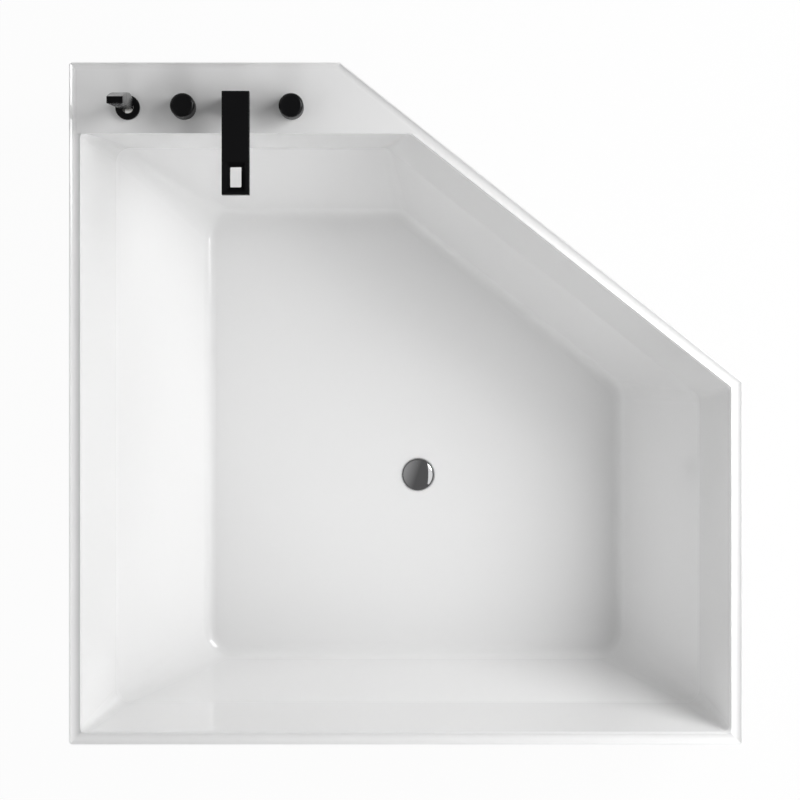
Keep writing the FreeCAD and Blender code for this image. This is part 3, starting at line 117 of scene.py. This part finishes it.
def softbox(name, place, size, power, mirrored=True):
    """A flat lamp that faces the basin, mirrored in polished pieces or not."""
    lamp = bpy.data.lights.new(name, "AREA")
    lamp.shape = "RECTANGLE"
    lamp.size, lamp.size_y = size
    lamp.energy = power
    stand = bpy.data.objects.new(name, lamp)
    stand.location = place
    stand.rotation_euler = (LIT_SPOT - Vector(place)).to_track_quat("-Z", "Y").to_euler()
    stand.visible_glossy = mirrored
    bpy.context.scene.collection.objects.link(stand)
    print(name, "watts:", power)


softbox("main_box", place=(2.2, 1.3, 2.5), size=(1.5, 1.5), power=44)
softbox("wide_panel", place=(3.0, 0, 3.6), size=(4.8, 2.1), power=23)
softbox("low_card", place=(1.7, 0, 1.7), size=(1.0, 1.0), power=16, mirrored=False)
softbox("left_card", place=(-2.2, 0, 2.5), size=(1.6, 1.6), power=8, mirrored=False)
softbox("front_card", place=(0, -2.4, 2.5), size=(1.6, 1.6), power=18, mirrored=False)
softbox("corner_card", place=(2.2, -2.0, 2.8), size=(1.6, 1.6), power=11, mirrored=False)

# %% [markdown]
# A material is a small network of nodes.  A few helpers keep each network short to read: `feed`
# gives a socket its value, whether that is a number or what another node puts out, and `node` adds
# a node with its settings.  The other three are the small sums that masks are made of.

# %% Node helpers


def feed(tree, value, socket):
    """Set a socket to a fixed value, or join it to another node's output."""
    if isinstance(value, bpy.types.NodeSocket):
        tree.links.new(value, socket)
    else:
        socket.default_value = value


def node(tree, kind, **settings):
    """Add a node; a setting is one of its sockets, written with _ for a blank, or its own."""
    made = tree.nodes.new(kind)
    for name, value in settings.items():
        socket = made.inputs.get(name.replace("_", " "))
        if socket is None:
            setattr(made, name, value)
        else:
            feed(tree, value, socket)
    return made


def remap(tree, value, source, target):
    """Carry a value from one range over to another; beyond the first it stays at the end."""
    made = node(tree, "ShaderNodeMapRange", Value=value, From_Min=source[0], From_Max=source[1],
                To_Min=target[0], To_Max=target[1])
    return made.outputs["Result"]


def calculate(tree, operation, first, second):
    made = node(tree, "ShaderNodeMath", operation=operation)
    feed(tree, first, made.inputs[0])
    feed(tree, second, made.inputs[1])
    return made.outputs["Value"]


def reach(tree, vector, direction):
    """How far a vector reaches in a direction, as their dot product."""
    made = node(tree, "ShaderNodeVectorMath", operation="DOT_PRODUCT")
    feed(tree, vector, made.inputs[0])
    feed(tree, direction, made.inputs[1])
    return made.outputs["Value"]


# %% [markdown]
# The world is the light of the room itself.  It is dim overhead, so that polished black stays
# black from above, and brighter towards the left wall.  A picture of a room could light it too,
# but one direction is enough here: the dot product tells how far a ray points to the bright side,
# and a map range turns that into the strength.  The camera itself sees plain white past the floor.

# %% World
BRIGHT_SIDE = (-0.9, 0.3, 0)
ROOM_STRENGTH = (0.10, 0.48)


def studio_world():
    world = bpy.data.worlds.new("studio")
    bpy.context.scene.world = world
    world.use_nodes = True
    tree = world.node_tree
    ray = node(tree, "ShaderNodeTexCoord").outputs["Generated"]
    room = remap(tree, reach(tree, ray, BRIGHT_SIDE), (0, 1), ROOM_STRENGTH)
    seen = node(tree, "ShaderNodeLightPath").outputs["Is Camera Ray"]
    background = tree.nodes["Background"]
    background.inputs["Color"].default_value = (1, 1, 1, 1)
    feed(tree, calculate(tree, "MAXIMUM", room, seen), background.inputs["Strength"])


studio_world()
bpy.context.scene.view_settings.view_transform = "Standard"
print("room light, dim and bright side:", ROOM_STRENGTH)

# %% [markdown]
# A finish starts as one shader with a colour and a roughness.  Two colours are blended by a mask
# with a Mix node.  That node has sockets for every kind of data, many with the same name, so the
# ones for colours are picked by their number.

# %% Start a finish
MIX_FIRST = 6
MIX_SECOND = 7
MIX_RESULT = 2


def shader_of(material):
    return material.node_tree.nodes["Principled BSDF"]


def finish(name, colour, roughness, **sockets):
    """A material; further sockets of its shader are written with _ for a blank."""
    material = bpy.data.materials.new(name)
    material.use_nodes = True
    inputs = shader_of(material).inputs
    inputs["Base Color"].default_value = (*colour, 1)
    inputs["Roughness"].default_value = roughness
    for label, value in sockets.items():
        inputs[label.replace("_", " ")].default_value = value
    return material


def blend(tree, share, first, second):
    """The first colour where the share is 0 and the second where it is 1."""
    made = node(tree, "ShaderNodeMix", data_type="RGBA", Factor=share)
    made.inputs[MIX_FIRST].default_value = (*first, 1)
    if isinstance(second, bpy.types.NodeSocket):
        feed(tree, second, made.inputs[MIX_SECOND])
    else:
        made.inputs[MIX_SECOND].default_value = (*second, 1)
    return made.outputs[MIX_RESULT]


# %% [markdown]
# Every finish needs small unevenness: a moulded or painted surface is never perfectly flat or
# evenly glossy.  One group makes it for all of them.  It takes the size of two patterns, and gives
# a cloudy value for the roughness and a finer one for the height of the surface.

# %% Shared group: fine unevenness
CLOUD_RANGE = (0.3, 0.7)


def make_unevenness():
    group = bpy.data.node_groups.new("fine_unevenness", "ShaderNodeTree")
    for label, value in (("Cloud Scale", 6.0), ("Grain Scale", 400.0)):
        socket = group.interface.new_socket(label, in_out="INPUT", socket_type="NodeSocketFloat")
        socket.default_value = value
    for label in ("Cloud", "Grain"):
        group.interface.new_socket(label, in_out="OUTPUT", socket_type="NodeSocketFloat")
    start = node(group, "NodeGroupInput")
    end = node(group, "NodeGroupOutput")
    place = node(group, "ShaderNodeTexCoord").outputs["Object"]
    for label, detail in (("Cloud", 3.0), ("Grain", 2.0)):
        noise = node(group, "ShaderNodeTexNoise", Vector=place, Detail=detail,
                     Scale=start.outputs[f"{label} Scale"])
        feed(group, noise.outputs["Fac"], end.inputs[label])
    return group


UNEVENNESS = make_unevenness()


def roughen(material, cloud, grain, roughness, bump):
    """Clouds between two roughnesses, and a fine bump given as its strength and height."""
    tree = material.node_tree
    inputs = shader_of(material).inputs
    uneven = node(tree, "ShaderNodeGroup", node_tree=UNEVENNESS, Cloud_Scale=cloud,
                  Grain_Scale=grain)
    feed(tree, remap(tree, uneven.outputs["Cloud"], CLOUD_RANGE, roughness), inputs["Roughness"])
    relief = node(tree, "ShaderNodeBump", Strength=bump[0], Distance=bump[1],
                  Height=uneven.outputs["Grain"])
    feed(tree, relief.outputs["Normal"], inputs["Normal"])


print("group:", UNEVENNESS.name, "with", len(UNEVENNESS.nodes), "nodes")

# %% [markdown]
# The tub is vacuum-formed acrylic: dead white, glossy, and very slightly wavy.  Its hidden side is
# stiffened with glass fibre in resin, cream-coloured and hairy.  Two materials on two sets of
# faces could do it, but the solid comes as one piece, so one material looks at the direction of
# each face: fibre where it looks down, and acrylic elsewhere.

# %% Acrylic with its fibre backing
ACRYLIC_WHITE = (0.925, 0.925, 0.925)
FIBRE_DARK = (0.4752, 0.432, 0.3384)
FIBRE_PALE = (0.7788, 0.708, 0.5546)
STRAND_RANGE = (0.35, 0.65)
LOOKS_DOWN = (-0.03, -0.10)


def acrylic():
    material = finish("gloss_acrylic", ACRYLIC_WHITE, 0.08, Coat_Weight=0.6, Coat_Roughness=0.04,
                      IOR=1.49)
    roughen(material, cloud=2.5, grain=9.0, roughness=(0.07, 0.13), bump=(0.06, 0.001))
    tree = material.node_tree
    place = node(tree, "ShaderNodeTexCoord").outputs["Object"]
    strands = node(tree, "ShaderNodeTexNoise", Vector=place, Scale=45.0, Detail=6.0,
                   Distortion=2.5)
    fibre = blend(tree, remap(tree, strands.outputs["Fac"], STRAND_RANGE, (0, 1)), FIBRE_DARK,
                  FIBRE_PALE)
    facing = node(tree, "ShaderNodeNewGeometry").outputs["True Normal"]
    hidden = remap(tree, reach(tree, facing, (0, 0, 1)), LOOKS_DOWN, (0, 1))
    feed(tree, blend(tree, hidden, ACRYLIC_WHITE, fibre), shader_of(material).inputs["Base Color"])
    return material


FINISHES = {"acrylic": acrylic()}
print("finish:", FINISHES["acrylic"].name)

# %% [markdown]
# Boards and metals under the tub.  The carrying board is pressed from wood flakes: cells of
# different browns, dull.  Zinc on steel crystallises in patches called spangle, so the rails get
# pale and dark cells.  Plated fasteners have smaller and fainter ones.  Noise would be too cloudy
# for all three, and a Voronoi texture gives each cell one even tone.

# %% Board and steels


def flaked(name, pale, dark, cells, roughness, contrast, metallic=0.0):
    material = finish(name, pale, sum(roughness) / 2, Metallic=metallic)
    roughen(material, cloud=20.0, grain=300.0, roughness=roughness, bump=(0.15, 0.0005))
    tree = material.node_tree
    place = node(tree, "ShaderNodeTexCoord").outputs["Object"]
    flakes = node(tree, "ShaderNodeTexVoronoi", Vector=place, Scale=cells)
    tone = node(tree, "ShaderNodeSeparateColor", Color=flakes.outputs["Color"])
    share = remap(tree, tone.outputs["Red"], (0, 1), (0.5 - contrast / 2, 0.5 + contrast / 2))
    feed(tree, blend(tree, share, dark, pale), shader_of(material).inputs["Base Color"])
    return material


FINISHES["board"] = flaked("pressed_board", (0.55, 0.38, 0.21), (0.28, 0.17, 0.08), cells=90.0,
                           roughness=(0.65, 0.85), contrast=1.0)
FINISHES["zinc_steel"] = flaked("zinc_steel", (0.66, 0.68, 0.70), (0.44, 0.46, 0.49), cells=60.0,
                                roughness=(0.30, 0.45), contrast=0.9, metallic=1.0)
FINISHES["bright_steel"] = flaked("plated_steel", (0.72, 0.71, 0.68), (0.60, 0.59, 0.57),
                                  cells=200.0, roughness=(0.20, 0.34), contrast=0.6, metallic=1.0)
print("board and steels, finishes so far:", len(FINISHES))

# %% [markdown]
# The taps are coated black and the hand shower is moulded black plastic.  Black shows its gloss
# more than its colour: seen from the front it shines a little, but a lamp that grazes a handle's
# side would turn it grey.  The Layer Weight node knows how much a face is seen from its side, and
# fades the gloss out there.

# %% Black taps and hand shower
SEEN_FROM_SIDE = (0.40, 0.85)
SIDE_GLOSS = 0.02


def plain(name, colour, roughness, cloud, grain, bump, **sockets):
    material = finish(name, colour, sum(roughness) / 2, **sockets)
    roughen(material, cloud, grain, roughness, bump)
    return material


def satin_black(name, front_gloss):
    material = plain(name, (0.004, 0.004, 0.0045), roughness=(0.20, 0.30), cloud=14.0, grain=900.0,
                     bump=(0.10, 0.0002))
    tree = material.node_tree
    side = node(tree, "ShaderNodeLayerWeight", Blend=0.5).outputs["Facing"]
    gloss = remap(tree, side, SEEN_FROM_SIDE, (front_gloss, SIDE_GLOSS))
    feed(tree, gloss, shader_of(material).inputs["Specular IOR Level"])
    return material


FINISHES["black_metal"] = satin_black("satin_black_metal", front_gloss=0.35)
FINISHES["black_handset"] = plain("satin_black_handset", (0.003, 0.003, 0.0035),
                                  roughness=(0.16, 0.24), cloud=18.0, grain=900.0,
                                  bump=(0.08, 0.0002), Specular_IOR_Level=0.28)
print("black pieces, finishes so far:", len(FINISHES))

# %% [markdown]
# Polished chrome on the waste mirrors what stands round it, so it gets hardly any roughness.  The
# brass and copper under the deck are turned and drawn, and left as they come from the machine.

# %% Chrome, brass and copper
FINISHES["chrome"] = plain("polished_chrome", (0.80, 0.80, 0.81), roughness=(0.03, 0.09),
                           cloud=60.0, grain=300.0, bump=(0.02, 0.0002), Metallic=1.0)
FINISHES["brass"] = plain("turned_brass", (0.70, 0.50, 0.20), roughness=(0.22, 0.38),
                          cloud=40.0, grain=500.0, bump=(0.12, 0.0003), Metallic=1.0)
FINISHES["copper"] = plain("drawn_copper", (0.74, 0.36, 0.22), roughness=(0.22, 0.40),
                           cloud=25.0, grain=400.0, bump=(0.10, 0.0003), Metallic=1.0)
print("bare metals, finishes so far:", len(FINISHES))

# %% [markdown]
# Seals and plastics.  Rubber is the dullest finish on the tub, and the soft spray plate is a
# little smoother than a seal.  Moulded plastic keeps the fine texture of its mould.

# %% Seals and plastics
FINISHES["rubber"] = plain("seal_rubber", (0.022, 0.022, 0.023), roughness=(0.60, 0.78),
                           cloud=30.0, grain=700.0, bump=(0.20, 0.0003))
FINISHES["spray_rubber"] = plain("spray_rubber", (0.045, 0.045, 0.048), roughness=(0.50, 0.65),
                                 cloud=30.0, grain=700.0, bump=(0.15, 0.0002))
FINISHES["white_plastic"] = plain("white_plastic", (0.78, 0.78, 0.75), roughness=(0.32, 0.46),
                                  cloud=12.0, grain=500.0, bump=(0.12, 0.0004))
FINISHES["black_plastic"] = plain("black_plastic", (0.024, 0.024, 0.025), roughness=(0.45, 0.60),
                                  cloud=18.0, grain=600.0, bump=(0.25, 0.0004))
print("seals and plastics, finishes so far:", len(FINISHES))

# %% [markdown]
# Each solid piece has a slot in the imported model's record that says what it is made of.  The slot
# picks its finish, so no piece has to be named here.

# %% Give each solid piece its finish
slot_of = {row["node"]: row["material_slot"] for row in frame["record"]["subparts"]}
for name, piece in NODES.items():
    piece.data.materials.clear()
    piece.data.materials.append(FINISHES[slot_of[name]])
print(len(NODES), "solid pieces in", len(FINISHES), "finishes")

# %% [markdown]
# Some pieces are easier to make as meshes.  Most of them are an outline turned round an axis, built
# point by point so that their size is exact.  Each one rides on the body that it belongs to, and
# takes its place and size from the solid that it dresses.

# %% Mesh helpers
SHARP_ANGLE = math.radians(35)


def new_piece(name, body, shape, material):
    """Turn a bmesh into an object, smooth but for its sharp edges, that rides on a body."""
    mesh = bpy.data.meshes.new(name)
    bmesh.ops.recalc_face_normals(shape, faces=shape.faces)
    shape.to_mesh(mesh)
    shape.free()
    mesh.polygons.foreach_set("use_smooth", [True] * len(mesh.polygons))
    mesh.set_sharp_from_angle(angle=SHARP_ANGLE)
    mesh.materials.append(material)
    piece = bpy.data.objects.new(name, mesh)
    bpy.context.scene.collection.objects.link(piece)
    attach(piece, body)
    return piece


def turn_outline(shape, outline, place, segments):
    """Add a turned surface: the outline lists (radius, height), and place is a matrix."""
    rings = []
    for radius, height in outline:
        count = segments if radius else 1
        turns = [2 * math.pi * step / count for step in range(count)]
        rings.append([shape.verts.new(place @ Vector((radius * math.cos(turn),
                                                      radius * math.sin(turn), height)))
                      for turn in turns])
    for under, over in zip(rings, rings[1:]):
        for step in range(segments):
            corners = [ring[(step + more) % len(ring)]
                       for ring, more in ((under, 0), (under, 1), (over, 1), (over, 0))]
            shape.faces.new(list(dict.fromkeys(corners)))


# %% [markdown]
# The handles.  Their upper edge is rounded broadly, and this ring is what catches the light from
# above.  A bevel on the solid's mesh could round it, but its many small faces make that uneven, so
# the whole handle is turned afresh.  Its skirt is hollow like the solid one's.

# %% Round-edged handles
KNOB_BEND = 0.007
KNOB_WALL = 0.003
KNOB_ROOF = 0.008
KNOB_SEGMENTS = 96
BEND_STEPS = 10


def rounded_edge(radius, height, bend):
    """Points of a quarter circle from an upright wall to a level top."""
    turns = [math.pi / 2 * step / BEND_STEPS for step in range(BEND_STEPS + 1)]
    return [(radius - bend + bend * math.cos(turn), height - bend + bend * math.sin(turn))
            for turn in turns]


def round_handle(name):
    low_corner, high_corner = box_of(f"{name}_knob")
    middle = (low_corner + high_corner) / 2
    radius = (high_corner.x - low_corner.x) / 2
    height = high_corner.z - low_corner.z
    inside = radius - KNOB_WALL
    outline = [(0, height - KNOB_ROOF), (inside, height - KNOB_ROOF), (inside, 0), (radius, 0)]
    outline += rounded_edge(radius, height, KNOB_BEND) + [(0, height)]
    shape = bmesh.new()
    place = Matrix.Translation((middle.x, middle.y, low_corner.z))
    turn_outline(shape, outline, place, KNOB_SEGMENTS)
    piece = new_piece(f"{name}_knob_rounded", f"{name}_handle", shape, FINISHES["black_metal"])
    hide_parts(f"{name}_knob")
    print(name, "knob, mm:", round(radius * 2000, 1), "across,", round(height * 1000, 1), "high")


round_handle("mixer")
round_handle("diverter")

# %% [markdown]
# The spray plate carries soft nozzles in rows: short cones with a hole in the tip.  A bump in the
# material could fake them, but their tips stand out against the light, so each is a small turned
# outline.  The plate leans with the hand shower, so the rows follow the direction in which the
# hand shower lifts out of its socket.

# %% Spray nozzles
NOZZLE_COLUMNS = 3
NOZZLE_ROWS = 9
COLUMN_PITCH = 0.0068
ROW_PITCH = 0.0094
NOZZLE_SEGMENTS = 14
NOZZLE_OUTLINE = [(0.0017, -0.0002), (0.0015, 0.0006), (0.0011, 0.0012), (0.0008, 0.0014),
                  (0.0005, 0.0014), (0.0004, 0.0009), (0, 0.0009)]


def spray_nozzles():
    lift = next(joint for joint in frame["joints"] if joint["name"] == "handset_lift")
    along = Vector(lift["axis"]).normalized()
    across = Vector((1, 0, 0))
    outward = across.cross(along)
    plate = NODES["handset_spray_plate"]
    spots = [plate.matrix_world @ vertex.co for vertex in plate.data.vertices]
    middle = sum(spots, Vector()) / len(spots)
    face = max((spot - middle).dot(outward) for spot in spots)
    leaned = Matrix((across, along, outward)).transposed().to_4x4()
    shape = bmesh.new()
    for row in range(NOZZLE_ROWS):
        for column in range(NOZZLE_COLUMNS):
            sideways = (column - (NOZZLE_COLUMNS - 1) / 2) * COLUMN_PITCH
            upward = (row - (NOZZLE_ROWS - 1) / 2) * ROW_PITCH
            place = middle + across * sideways + along * upward + outward * face
            turn_outline(shape, NOZZLE_OUTLINE, Matrix.Translation(place) @ leaned, NOZZLE_SEGMENTS)
    new_piece("spray_nozzles", "handset", shape, FINISHES["spray_rubber"])
    print("spray nozzles:", NOZZLE_ROWS * NOZZLE_COLUMNS)


spray_nozzles()

# %% [markdown]
# The feet stand on threaded studs.  A profile swept along a helix would need its ends trimmed, so
# the thread is one surface of rings whose radius rises and falls: the phase grows with the height
# and falls with the turn round the stud.  At both ends the thread runs out to its root.

# %% Threads of the feet
THREAD_PITCH = 0.00175
THREAD_DEPTH = 0.001
ROWS_PER_PITCH = 6
THREAD_SEGMENTS = 20


def threaded_rod(radius, length):
    shape = bmesh.new()
    rows = math.ceil(length / THREAD_PITCH * ROWS_PER_PITCH)
    rings = []
    for row in range(rows + 1):
        height = length * row / rows
        runout = min(1, height / THREAD_PITCH, (length - height) / THREAD_PITCH)
        ring = []
        for step in range(THREAD_SEGMENTS):
            phase = (height / THREAD_PITCH - step / THREAD_SEGMENTS) % 1
            groove = 1 - abs(2 * phase - 1) * runout
            here = radius - THREAD_DEPTH * groove
            turn = 2 * math.pi * step / THREAD_SEGMENTS
            ring.append(shape.verts.new((here * math.cos(turn), here * math.sin(turn), height)))
        rings.append(ring)
    for under, over in zip(rings, rings[1:]):
        for step in range(THREAD_SEGMENTS):
            following = (step + 1) % THREAD_SEGMENTS
            shape.faces.new((under[step], under[following], over[following], over[step]))
    shape.faces.new(rings[0][::-1])
    shape.faces.new(rings[-1])
    return shape


studs = sorted(name for name in NODES if name.startswith("foot_stud_"))
for stud in studs:
    foot = stud.replace("stud_", "")
    low_corner, high_corner = box_of(stud)
    middle = (low_corner + high_corner) / 2
    rod = threaded_rod((high_corner.x - low_corner.x) / 2, high_corner.z - low_corner.z)
    bmesh.ops.translate(rod, verts=rod.verts, vec=(middle.x, middle.y, low_corner.z))
    rod_piece = new_piece(f"{foot}_thread", foot, rod, FINISHES["bright_steel"])
    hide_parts(stud)
print("threaded studs:", len(studs))

# %% [markdown]
# The floor is a lit studio floor: white in the picture, with a little of the tub's shadow.  A lamp
# bright enough to whiten it would burn out the acrylic, so the floor glows instead.  Under the tub
# it doesn't, so that the hose passage looks dark from above.  The mask for this measures how far
# a spot of the floor lies towards each side of the tub and towards its cut-off corner, where the
# glow begins a little inside the panel.

# %% Where the floor glows
SIDES = [(1, 0, 0), (-1, 0, 0), (0, 1, 0), (0, -1, 0)]
CUT_OFF_CORNER = (0.63, 0.78, 0)
CORNER_REACH = 0.40
GLOW_FADE = 0.05


def outside_tub(tree):
    """A mask that is 0 under the tub and 1 beyond its sides."""
    place = node(tree, "ShaderNodeNewGeometry").outputs["Position"]
    mask = 0
    for direction, limit in [(side, high.x) for side in SIDES] + [(CUT_OFF_CORNER, CORNER_REACH)]:
        beyond = remap(tree, reach(tree, place, direction), (limit - GLOW_FADE, limit), (0, 1))
        mask = calculate(tree, "MAXIMUM", mask, beyond)
    return mask


print("glow starts, metres from the middle:", round(high.x, 3), "and", CORNER_REACH)

# %% [markdown]
# The glow is an Emission shader, mixed in for the rays of the camera and of mirror images alone,
# so it lights nothing.  What is left of the plain shader takes the shadow.

# %% Floor
FLOOR_SIZE = 14.0
FLOOR_COLOUR = (0.85, 0.85, 0.85)
FLOOR_ROUGHNESS = 0.6
GLOW_SHARE = 0.96


def studio_white():
    material = finish("studio_white", FLOOR_COLOUR, FLOOR_ROUGHNESS)
    tree = material.node_tree
    rays = node(tree, "ShaderNodeLightPath").outputs
    seen = calculate(tree, "MAXIMUM", rays["Is Camera Ray"], rays["Is Glossy Ray"])
    glowing = calculate(tree, "MULTIPLY", seen, GLOW_SHARE)
    share = calculate(tree, "MULTIPLY", glowing, outside_tub(tree))
    glow = node(tree, "ShaderNodeEmission", Strength=1.0)
    mix = node(tree, "ShaderNodeMixShader", Fac=share)
    feed(tree, shader_of(material).outputs["BSDF"], mix.inputs[1])
    feed(tree, glow.outputs["Emission"], mix.inputs[2])
    feed(tree, mix.outputs["Shader"], tree.nodes["Material Output"].inputs["Surface"])
    return material


def studio_floor():
    half = FLOOR_SIZE / 2
    corners = [(-half, -half, 0), (half, -half, 0), (half, half, 0), (-half, half, 0)]
    mesh = bpy.data.meshes.new("studio_floor")
    mesh.from_pydata(corners, [], [(0, 1, 2, 3)])
    mesh.materials.append(studio_white())
    floor = bpy.data.objects.new("studio_floor", mesh)
    bpy.context.scene.collection.objects.link(floor)
    print("floor, metres across:", FLOOR_SIZE)


studio_floor()
